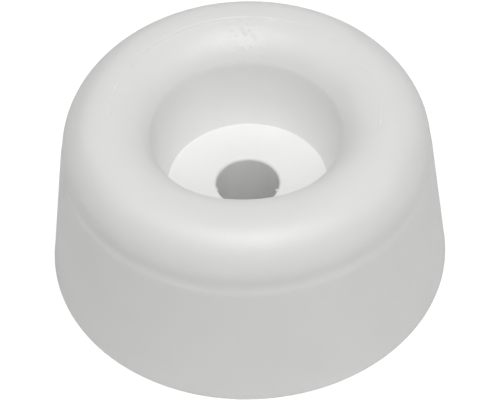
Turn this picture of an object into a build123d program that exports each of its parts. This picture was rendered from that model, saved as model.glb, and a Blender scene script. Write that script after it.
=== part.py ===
# Round screw-on buffer, moulded in one piece from white rubber. Millimetres, +Z up.
# The origin is the centre of the base, on the face that meets what the buffer is screwed to.

import os
from math import cos, radians, sin, tan

from build123d import *

# Overall sizes
base_diameter = 30.0
height = 15.0

# Outside: a tapered side, a shallow cove above its top edge, then the rounded rim
side_taper = 1.11  # how much smaller in radius the side is at its top edge
cove_depth = 0.14  # how far the rim starts inside that edge
cove_height = 1.25
rim_outer_drop = 3.47  # from the crest down to where the rim starts
rim_stop = 2.2  # degrees short of upright where the rim's outer round ends

# Rim roll, from the crest down to the recess wall
rim_inner_width = 3.4
rim_inner_drop = 2.08

# Recess for the screw head, and the screw hole under it
floor_diameter = 12.0
floor_height = 7.55  # rubber left under the screw head
recess_draft = 12.0  # degrees that the recess wall opens upwards
hole_diameter = 4.7

# Softened edges
base_edge = 0.15
hole_edge = 0.25

# Points of the half section, worked out from the sizes above
base_radius = base_diameter / 2
floor_radius = floor_diameter / 2
throat_height = height - rim_inner_drop
throat_radius = floor_radius + (throat_height - floor_height) * tan(radians(recess_draft))
crest_radius = throat_radius + rim_inner_width
shoulder_radius = base_radius - side_taper
neck_radius = shoulder_radius - cove_depth
neck_height = height - rim_outer_drop

crest = (crest_radius, height)
neck = (neck_radius, neck_height)
shoulder = (shoulder_radius, neck_height - cove_height)
throat = (throat_radius, throat_height)
floor_corner = (floor_radius, floor_height)

# Outer round of the rim: a quarter of an ellipse, stopped just short of upright
rim_across = (neck_radius - crest_radius) / cos(radians(rim_stop))
rim_down = rim_outer_drop / (1 - sin(radians(rim_stop)))
rim_centre = (crest_radius, height - rim_down)

with BuildPart() as bumper:
    # Half section, turned about the axis
    with BuildSketch(Plane.XZ):
        with BuildLine():
            outer_round = EllipticalCenterArc(
                rim_centre, rim_across, rim_down, start_angle=rim_stop, arc_size=90 - rim_stop
            )
            TangentArc(neck, shoulder, tangent=-(outer_round % 0))
            Polyline(shoulder, (base_radius, 0), (0, 0), (0, floor_height), floor_corner, throat)
            TangentArc(crest, throat, tangent=(-1, 0))
        make_face()
    revolve(axis=Axis.Z)

    # Screw hole, right through what is left under the recess
    with Locations((0, 0, floor_height)):
        Hole(radius=hole_diameter / 2)

    # Softened edges: the mouth of the hole, then the rim of the base
    recess_floor = bumper.faces().filter_by(Axis.Z).sort_by(Axis.Z)[-1]
    fillet(recess_floor.edges().sort_by(SortBy.RADIUS)[0], radius=hole_edge)

    base_face = bumper.faces().filter_by(Axis.Z).sort_by(Axis.Z)[0]
    fillet(base_face.edges().sort_by(SortBy.RADIUS)[-1], radius=base_edge)

bumper.part.label = "bumper"

os.makedirs("parts", exist_ok=True)
export_step(bumper.part, "parts/bumper.step")
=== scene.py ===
from math import acos, atan2, cos, exp, hypot, pi, radians, sin, tan

import bmesh
import bpy
from mathutils import Matrix, Vector, noise


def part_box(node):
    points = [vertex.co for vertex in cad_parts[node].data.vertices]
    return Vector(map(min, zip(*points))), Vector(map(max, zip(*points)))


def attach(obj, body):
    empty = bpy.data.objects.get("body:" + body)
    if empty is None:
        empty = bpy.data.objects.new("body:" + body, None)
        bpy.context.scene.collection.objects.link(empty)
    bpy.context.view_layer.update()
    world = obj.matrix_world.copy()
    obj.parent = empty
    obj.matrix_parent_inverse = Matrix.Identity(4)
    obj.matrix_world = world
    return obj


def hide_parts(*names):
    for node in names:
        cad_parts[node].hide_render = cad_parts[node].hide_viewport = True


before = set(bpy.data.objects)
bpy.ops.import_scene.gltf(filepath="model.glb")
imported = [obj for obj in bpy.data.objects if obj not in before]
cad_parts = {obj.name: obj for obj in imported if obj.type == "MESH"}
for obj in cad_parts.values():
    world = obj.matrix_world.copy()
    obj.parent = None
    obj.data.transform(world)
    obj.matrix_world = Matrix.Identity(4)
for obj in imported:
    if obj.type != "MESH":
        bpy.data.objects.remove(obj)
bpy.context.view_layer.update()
low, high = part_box("bumper")
mm = 0.001
rimTop = high.z / mm  # height of the crest
print("frame loaded, crest at", round(rimTop, 2), "mm")


# the bumper is one lathed skin; lengths in its dictionaries are in mm and angles in degrees
bumper = {
    "segments": 480,
    "steps": {  # points along each stretch of the section
        "bore": 24, "mouth": 10, "floor": 12, "wall": 18, "roll": 20, "crest": 4,
        "round": 26, "cove": 8, "side": 30, "foot": 8, "base": 4,
    },
    "sharpFrom": 40.0,  # edges that turn by more than this stay crisp
    "baseRadius": 14.992,  # the side carried down to the bench, before its edge is broken
    "baseEdge": 0.15,  # its round, and the height where the side ends
    "shoulderRadius": 13.89,
    "coveHeight": 0.95,
    "neckRadius": 13.73,
    "neckDrop": 3.47,  # from the crest down to where the outer round starts
    "rimStop": 0.8,  # how far short of upright the outer round ends
    "rimInnerWidth": 3.4,
    "rimInnerDrop": 2.08,
    "rimInnerSlope": 62.9,  # where the roll meets the recess wall
    "recessDraft": 12.0,
    "floorRadius": 6.0,
    "floorHeight": 7.55,
    "holeRadius": 2.35,
    "holeEdge": 0.25,
}

mouldRing = {  # the fine line where the two halves of the mould met, close to the crest
    "radius": 10.05,
    "depth": 0.04,
    "width": 0.06,
    "lipShare": 0.5,  # height of the raised line just inside the groove
    "lipInset": 0.13,
    "reach": 0.45,  # finely divided band either side of the ring
    "steps": 34,
    "topBand": 0.4,  # it is looked for this far down from the crest
    "wear": 0.85,
    "wearSpread": 0.5,
    "wearScale": 0.17,
    "faint": 0.06,  # strength left between the stretches
    "fade": 0.8,  # how gently each stretch ends
    "stretches": [  # from, to, strength: it is broken, and missing at the front
        (60, 140, 0.9), (76.6, 78.2, 1.6), (45, 50, 0.7), (36, 38.5, 0.8), (16, 25, 0.9),
        (-11, 7, 0.9), (147, 150, 1.3), (159.5, 164, 2.2), (171, 177, 1.7),
    ],
}

holeFlaws = {  # a nub and chips in the wall of the screw hole
    "lowest": 4.0,
    "highest": 7.4,  # they stop a little under the recess floor
    "reach": 0.9,  # from the wall of the hole
    "spill": 0.3,
    "places": [  # angle, spread, height band below the floor, how far the wall moves outwards
        {"angle": 184.0, "spread": 3.5, "depth": 0.6, "move": 0.38},
        {"angle": 190.0, "spread": 5.0, "depth": 0.8, "move": -0.10},
        {"angle": -12.0, "spread": 3.5, "depth": 0.5, "move": 0.08},
        {"angle": -20.0, "spread": 3.0, "depth": 0.7, "move": -0.2},
        {"angle": -28.0, "spread": 3.0, "depth": 0.5, "move": 0.12},
    ],
}

rollSwell = {  # the roll is a little fuller at the front
    "angle": 270.0,
    "spread": 32.0,
    "height": 14.0,
    "band": 0.9,
    "move": 0.3,
    "lowest": 11.0,
    "widest": 10.5,
}

softness = {  # the unevenness of a rubber moulding
    "broad": 0.008,
    "broadScale": 0.22,
    "fine": 0.002,
    "fineScale": 0.9,
    "lowest": 0.2,  # the foot stays flat
}


def straight(start, end, steps):
    # points after start, up to and with end
    return [tuple(a + (b - a) * i / steps for a, b in zip(start, end)) for i in range(1, steps + 1)]


def arc(centre, across, upwards, angles):
    # points of an ellipse, or of a circle where both half axes are alike
    return [(centre[0] + across * cos(t), centre[1] + upwards * sin(t)) for t in angles]


def turns(fromAngle, toAngle, steps):
    return [fromAngle + (toAngle - fromAngle) * i / steps for i in range(1, steps + 1)]


def tangentArc(start, heading, end, steps):
    # an arc that leaves start in the given direction and stops at end
    run, rise = end[0] - start[0], end[1] - start[1]
    swing = atan2(heading[0] * rise - heading[1] * run, heading[0] * run + heading[1] * rise)
    radius = hypot(run, rise) / (2 * sin(swing))
    centre = (start[0] - heading[1] * radius, start[1] + heading[0] * radius)
    first = atan2(start[1] - centre[1], start[0] - centre[0])
    return arc(centre, abs(radius), abs(radius), turns(first, first + 2 * swing, steps))


def sectionPoints(size):
    # half section as (radius, height), from the foot of the hole up, over the rim and under the base
    mouth = size["floorHeight"] - size["holeEdge"]
    throatHeight = rimTop - size["rimInnerDrop"]
    draft = tan(radians(size["recessDraft"]))
    throatRadius = size["floorRadius"] + (throatHeight - size["floorHeight"]) * draft
    crestRadius = throatRadius + size["rimInnerWidth"]
    # the roll into the recess is part of an ellipse that reaches the wanted slope at the throat
    rollShape = tan(radians(size["rimInnerSlope"])) * size["rimInnerWidth"] / size["rimInnerDrop"]
    rollTurn = acos(1 / (rollShape - 1))
    rollAcross = size["rimInnerWidth"] / sin(rollTurn)
    rollDown = size["rimInnerDrop"] / (1 - cos(rollTurn))
    rollCentre = (crestRadius, rimTop - rollDown)
    rollEnd = pi / 2 + rollTurn
    stop = radians(size["rimStop"])
    across = (size["neckRadius"] - crestRadius) / cos(stop)
    down = size["neckDrop"] / (1 - sin(stop))
    rimCentre = (crestRadius, rimTop - down)
    neck = (size["neckRadius"], rimTop - size["neckDrop"])
    heading = Vector((across * sin(stop), -down * cos(stop))).normalized()
    shoulder = (size["shoulderRadius"], neck[1] - size["coveHeight"])
    edge = size["baseEdge"]

    steps = size["steps"]

    # the roll is divided finely where the mould ring runs
    ringInside = crestRadius - mouldRing["radius"]
    fineFrom = pi / 2 + (ringInside + mouldRing["reach"]) / rollAcross
    fineTo = pi / 2 + max(0.0, ringInside - mouldRing["reach"]) / rollAcross

    points = [(size["holeRadius"], 0.0)]
    points += straight(points[-1], (size["holeRadius"], mouth), steps["bore"])
    points += arc((size["holeRadius"] + size["holeEdge"], mouth), size["holeEdge"], size["holeEdge"],
                  turns(pi, pi / 2, steps["mouth"]))
    points += straight(points[-1], (size["floorRadius"], size["floorHeight"]), steps["floor"])
    points += straight(points[-1], (throatRadius, throatHeight), steps["wall"])
    points += arc(rollCentre, rollAcross, rollDown, turns(rollEnd, fineFrom, steps["roll"]))
    points += arc(rollCentre, rollAcross, rollDown, turns(fineFrom, fineTo, mouldRing["steps"]))
    if fineTo > pi / 2:
        points += arc(rollCentre, rollAcross, rollDown, turns(fineTo, pi / 2, steps["crest"]))
    points += arc(rimCentre, across, down, turns(pi / 2, stop, steps["round"]))
    points += tangentArc(neck, heading, shoulder, steps["cove"])
    foot = size["baseRadius"] - edge * 0.1  # the taper has come this far in at the top of the round
    points += straight(points[-1], (foot, edge), steps["side"])
    points += arc((size["baseRadius"] - edge * 1.1, edge), edge, edge, turns(0, -pi / 2, steps["foot"]))
    points += straight(points[-1], points[0], steps["base"])
    return points[:-1]


def turnBetween(degrees, other):
    # from one direction to another, between -180 and 180
    return (degrees - other + 180) % 360 - 180


def ringStrength(degrees):
    worn = noise.noise(Vector((degrees * mouldRing["wearScale"], 2.0, 7.0)))
    strength = mouldRing["faint"]
    for start, stop, amount in mouldRing["stretches"]:
        half = (stop - start) / 2
        turn = abs(turnBetween(degrees, (start + stop) / 2))
        strength += amount * max(0.0, min(1.0, (half - turn) / mouldRing["fade"] + 1))
    return strength * (mouldRing["wear"] + mouldRing["wearSpread"] * worn)


def ringOffset(radius, height, strength):
    # groove and raised line of the mould ring
    if height < rimTop - mouldRing["topBand"]:
        return 0.0
    away = radius - mouldRing["radius"]
    groove = exp(-((away / mouldRing["width"]) ** 2))
    lip = exp(-(((away + mouldRing["lipInset"]) / mouldRing["width"]) ** 2))
    return mouldRing["depth"] * strength * (mouldRing["lipShare"] * lip - groove)


def holeOffset(radius, height, degrees):
    # how far the flaws of the screw hole move its wall outwards
    wall = bumper["holeRadius"]
    if radius > wall + holeFlaws["reach"]:
        return 0.0
    if height < holeFlaws["lowest"] or height > holeFlaws["highest"]:
        return 0.0
    below = bumper["floorHeight"] - height
    out = max(0.0, radius - wall - bumper["holeEdge"]) / holeFlaws["spill"]
    move = 0.0
    for flaw in holeFlaws["places"]:
        turn = turnBetween(degrees, flaw["angle"]) / flaw["spread"]
        move += flaw["move"] * exp(-(turn ** 2) - (below / flaw["depth"]) ** 2 - out ** 2)
    return move


def swellOffset(radius, height, degrees):
    # inwards, so it is negative
    if height < rollSwell["lowest"] or radius > rollSwell["widest"]:
        return 0.0
    turn = turnBetween(degrees, rollSwell["angle"]) / rollSwell["spread"]
    rise = (height - rollSwell["height"]) / rollSwell["band"]
    return -rollSwell["move"] * exp(-(turn ** 2) - rise ** 2)


def sag(place):
    # always a little inside the true form
    if place.z <= softness["lowest"]:
        return 0.0
    broad = softness["broad"] * (1 + noise.noise(place * softness["broadScale"]))
    fine = softness["fine"] * (1 + noise.noise(place * softness["fineScale"]))
    return -broad - fine


def buildBumper():
    size = bumper
    section = sectionPoints(size)
    count = len(section)
    normals = []
    for i in range(count):
        before, after = section[i - 1], section[(i + 1) % count]
        along = Vector((after[0] - before[0], after[1] - before[1])).normalized()
        normals.append((along.y, -along.x))
    bm = bmesh.new()
    rings = []
    for step in range(size["segments"]):
        angle = 2 * pi * step / size["segments"]
        degrees = angle * 180 / pi
        strength = ringStrength(degrees)
        ring = []
        for (radius, height), normal in zip(section, normals):
            place = Vector((radius * cos(angle), radius * sin(angle), height))
            push = sag(place) + ringOffset(radius, height, strength)
            r = radius - normal[0] * push + holeOffset(radius, height, degrees)
            r += swellOffset(radius, height, degrees)
            z = min(height - normal[1] * push, rimTop)
            ring.append(bm.verts.new((r * cos(angle) * mm, r * sin(angle) * mm, z * mm)))
        rings.append(ring)
    for step in range(size["segments"]):
        here, there = rings[step], rings[(step + 1) % size["segments"]]
        for i in range(count):
            k = (i + 1) % count
            bm.faces.new((here[i], here[k], there[k], there[i]))
    bmesh.ops.recalc_face_normals(bm, faces=bm.faces)
    mesh = bpy.data.meshes.new("bumperSkin")
    bm.to_mesh(mesh)
    bm.free()
    for polygon in mesh.polygons:
        polygon.use_smooth = True
    mesh.set_sharp_from_angle(angle=radians(size["sharpFrom"]))
    piece = bpy.data.objects.new("bumperSkin", mesh)
    bpy.context.collection.objects.link(piece)
    print("bumper skin:", len(mesh.polygons), "faces,", count, "points in the section")
    return piece


# lengths in metres, scales per metre
whiteRubber = {
    "colour": (0.873, 0.874, 0.867, 1),
    "shade": (0.840, 0.841, 0.829, 1),
    "borePaintedShade": (0.78, 0.78, 0.77, 1),  # painted shade inside the screw hole
    "boreFade": 1.1,  # the painted shade has faded out at this many times the radius of the hole
    "cloudScale": 260.0,
    "roughness": 0.34,
    "roughnessSpread": 0.04,
    "gloss": 0.38,
    "grainScale": 4200.0,
    "grainHeight": 0.000003,
    "waveScale": (500.0, 500.0, 1500.0),  # soft waves lying along the side
    "waveHeight": 0.000012,
    "pimpleScale": 2400.0,
    "pimpleHeight": 0.00004,
    "pimpleCore": 0.12,  # share of a pimple's spacing that is at full height
    "pimpleEdge": 0.42,  # and where it ends
    "pimplePatch": (0.0002, 0.0088, 0.0146),  # where the moulding shows small pimples
    "pimpleReach": 0.0028,
}


def node(tree, kind, **values):
    # a property is set by its own name, an input socket by its name with _ for each space
    made = tree.nodes.new(kind)
    for key, value in values.items():
        if hasattr(made, key):
            setattr(made, key, value)
        else:
            made.inputs[key.replace("_", " ")].default_value = value
    return made


def vectorNode(tree, operation, where, other):
    made = node(tree, "ShaderNodeVectorMath", operation=operation)
    tree.links.new(where, made.inputs[0])
    made.inputs[1].default_value = other
    return made


def addRelief(tree, relief, height, pattern):
    # the relief so far, plus a pattern scaled to its height
    total = node(tree, "ShaderNodeMath", operation="MULTIPLY_ADD")
    tree.links.new(pattern, total.inputs[0])
    total.inputs[1].default_value = height
    total.inputs[2].default_value = 0.0
    if relief:
        tree.links.new(relief, total.inputs[2])
    return total.outputs["Value"]


def rubberColour(tree, where, cloud):
    # clouded white, with painted shade darkening the bore
    look, link = whiteRubber, tree.links.new
    mix = node(tree, "ShaderNodeMix", data_type="RGBA")
    mix.inputs["A"].default_value = look["colour"]
    mix.inputs["B"].default_value = look["shade"]
    link(cloud, mix.inputs["Factor"])
    flat = vectorNode(tree, "MULTIPLY", where, (1, 1, 0))
    away = node(tree, "ShaderNodeVectorMath", operation="LENGTH")
    link(flat.outputs["Vector"], away.inputs[0])
    hole = bumper["holeRadius"] * mm
    faded = hole * look["boreFade"]
    inside = node(tree, "ShaderNodeMapRange", From_Min=hole, From_Max=faded, To_Min=1.0, To_Max=0.0)
    link(away.outputs["Value"], inside.inputs["Value"])
    # painted shade: the bore is mixed towards a darker colour, fading out just past the wall of the hole
    bore = node(tree, "ShaderNodeMix", data_type="RGBA")
    link(inside.outputs["Result"], bore.inputs["Factor"])
    link(mix.outputs["Result"], bore.inputs["A"])
    bore.inputs["B"].default_value = look["borePaintedShade"]
    return bore.outputs["Result"]


def pimples(tree, where):
    # small domes, in one patch at the back of the roll
    look, link = whiteRubber, tree.links.new
    cells = node(tree, "ShaderNodeTexVoronoi", Scale=look["pimpleScale"])
    link(where, cells.inputs["Vector"])
    core, edge = look["pimpleCore"], look["pimpleEdge"]
    dome = node(tree, "ShaderNodeMapRange", From_Min=core, From_Max=edge, To_Min=1.0, To_Max=0.0)
    link(cells.outputs["Distance"], dome.inputs["Value"])
    apart = vectorNode(tree, "DISTANCE", where, look["pimplePatch"])
    patch = node(tree, "ShaderNodeMapRange", From_Max=look["pimpleReach"], To_Min=1.0, To_Max=0.0)
    link(apart.outputs["Value"], patch.inputs["Value"])
    both = node(tree, "ShaderNodeMath", operation="MULTIPLY")
    link(dome.outputs["Result"], both.inputs[0])
    link(patch.outputs["Result"], both.inputs[1])
    return both.outputs["Value"]


def rubberRelief(tree, where):
    # fine grain, soft waves and pimples, as one bump
    look, link = whiteRubber, tree.links.new
    grain = node(tree, "ShaderNodeTexNoise", Scale=look["grainScale"], Detail=3.0, Roughness=0.6)
    link(where, grain.inputs["Vector"])
    wave = node(tree, "ShaderNodeTexNoise", Scale=1.0, Detail=2.0)
    link(vectorNode(tree, "MULTIPLY", where, look["waveScale"]).outputs["Vector"], wave.inputs["Vector"])
    relief = addRelief(tree, None, look["grainHeight"], grain.outputs["Fac"])
    relief = addRelief(tree, relief, look["waveHeight"], wave.outputs["Fac"])
    relief = addRelief(tree, relief, look["pimpleHeight"], pimples(tree, where))
    bump = node(tree, "ShaderNodeBump", Strength=1.0, Distance=1.0)
    link(relief, bump.inputs["Height"])
    return bump.outputs["Normal"]


def makeRubber():
    look = whiteRubber
    material = bpy.data.materials.new("whiteRubber")
    material.use_nodes = True
    tree = material.node_tree
    tree.nodes.clear()
    link = tree.links.new
    out = node(tree, "ShaderNodeOutputMaterial")
    shader = node(tree, "ShaderNodeBsdfPrincipled", Specular_IOR_Level=look["gloss"])
    link(shader.outputs["BSDF"], out.inputs["Surface"])
    where = node(tree, "ShaderNodeTexCoord").outputs["Object"]
    cloud = node(tree, "ShaderNodeTexNoise", Scale=look["cloudScale"], Detail=4.0, Roughness=0.55)
    link(where, cloud.inputs["Vector"])
    link(rubberColour(tree, where, cloud.outputs["Fac"]), shader.inputs["Base Color"])

    least = look["roughness"] - look["roughnessSpread"]
    most = look["roughness"] + look["roughnessSpread"]
    polish = node(tree, "ShaderNodeMapRange", To_Min=least, To_Max=most)
    link(cloud.outputs["Fac"], polish.inputs["Value"])
    link(polish.outputs["Result"], shader.inputs["Roughness"])
    link(rubberRelief(tree, where), shader.inputs["Normal"])
    return material


skin = buildBumper()
skin.data.materials.append(makeRubber())
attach(skin, "root")
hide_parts("bumper")
print("rubber ready")


studio = {  # in metres
    "benchRadius": 1.2,
    "benchSides": 96,
    "benchGap": 0.00002,  # under the bumper
    "benchColour": (0.86, 0.86, 0.86, 1),
    "whiteLift": 0.5,  # added for the camera only, so the open bench shows white
    "lampDistance": 0.42,
    "lampSize": 0.26,
    "lampAim": 0.007,  # height that the lamps point at
}

# soft lamps: direction in plan from +X and height above the bench, both in degrees, and watts
lamps = {
    "overhead": {"around": 270, "up": 78, "power": 0.6},
    "front": {"around": 270, "up": 58, "power": 0.34},
    "frontRight": {"around": 315, "up": 58, "power": 0.32},
    "frontLeft": {"around": 225, "up": 58, "power": 0.11},
    "left": {"around": 180, "up": 58, "power": 0.11},
    "leftLow": {"around": 180, "up": 35, "power": 0.05},
    "backLeft": {"around": 135, "up": 35, "power": 0.15},
    "rightLow": {"around": 0, "up": 35, "power": 0.16},
    "back": {"around": 90, "up": 12, "power": 0.14},
    "backRight": {"around": 45, "up": 12, "power": 0.13},
}


def makeBench():
    bm = bmesh.new()
    bmesh.ops.create_circle(bm, cap_ends=True, segments=studio["benchSides"], radius=studio["benchRadius"])
    mesh = bpy.data.meshes.new("bench")
    bm.to_mesh(mesh)
    bm.free()
    bench = bpy.data.objects.new("bench", mesh)
    bench.location.z = low.z - studio["benchGap"]
    bpy.context.collection.objects.link(bench)
    material = bpy.data.materials.new("paleBench")
    material.use_nodes = True
    tree = material.node_tree
    tree.nodes.clear()
    link = tree.links.new
    out = node(tree, "ShaderNodeOutputMaterial")
    paper = node(tree, "ShaderNodeBsdfDiffuse", Color=studio["benchColour"])
    glow = node(tree, "ShaderNodeEmission", Strength=studio["whiteLift"])
    lit = node(tree, "ShaderNodeAddShader")
    seen = node(tree, "ShaderNodeLightPath")
    pick = node(tree, "ShaderNodeMixShader")
    link(paper.outputs["BSDF"], lit.inputs[0])
    link(glow.outputs["Emission"], lit.inputs[1])
    link(seen.outputs["Is Camera Ray"], pick.inputs["Fac"])
    link(paper.outputs["BSDF"], pick.inputs[1])
    link(lit.outputs["Shader"], pick.inputs[2])
    link(pick.outputs["Shader"], out.inputs["Surface"])
    mesh.materials.append(material)


def makeLamp(name, around, up, power):
    light = bpy.data.lights.new(name, "AREA")
    light.shape = "DISK"
    light.size = studio["lampSize"]
    light.energy = power
    lamp = bpy.data.objects.new(name, light)
    flat = cos(radians(up))
    place = Vector((cos(radians(around)) * flat, sin(radians(around)) * flat, sin(radians(up))))
    lamp.location = place * studio["lampDistance"]
    aim = Vector((0, 0, studio["lampAim"])) - lamp.location
    lamp.rotation_euler = aim.to_track_quat("-Z", "Y").to_euler()
    bpy.context.collection.objects.link(lamp)


def makeWorld():
    world = bpy.data.worlds.new("room")
    bpy.context.scene.world = world
    world.use_nodes = True
    sky = world.node_tree.nodes["Background"]
    sky.inputs["Strength"].default_value = 0.0  # the lamps are the only light


camera = {  # metres and degrees
    "distance": 0.2709,
    "elevation": 48.5,
    "lean": -1.87,  # roll
    "aimAcross": 0.00013,
    "aimHeight": 0.00549,
    "lens": 254.2,  # mm, on a 36 mm sensor
}


def makeCamera():
    lens = bpy.data.cameras.new("camera")
    lens.lens = camera["lens"]
    lens.sensor_width = 36
    lens.clip_start = 0.01
    view = bpy.data.objects.new("camera", lens)
    bpy.context.collection.objects.link(view)
    up = radians(camera["elevation"])
    eye = Vector((0, -cos(up), sin(up))) * camera["distance"]
    ahead = (Vector((camera["aimAcross"], 0, camera["aimHeight"])) - eye).normalized()
    side = ahead.cross(Vector((0, 0, 1))).normalized()
    top = side.cross(ahead)
    lean = radians(camera["lean"])
    leanSide = side * cos(lean) + top * sin(lean)
    leanTop = top * cos(lean) - side * sin(lean)
    turn = Matrix((leanSide, leanTop, -ahead)).transposed().to_4x4()
    view.matrix_world = Matrix.Translation(eye) @ turn
    bpy.context.scene.camera = view


makeBench()
for name, lamp in lamps.items():
    makeLamp(name, lamp["around"], lamp["up"], lamp["power"])
makeWorld()
makeCamera()
bpy.context.scene.view_settings.view_transform = "Standard"
print("studio ready:", len(lamps), "lamps")
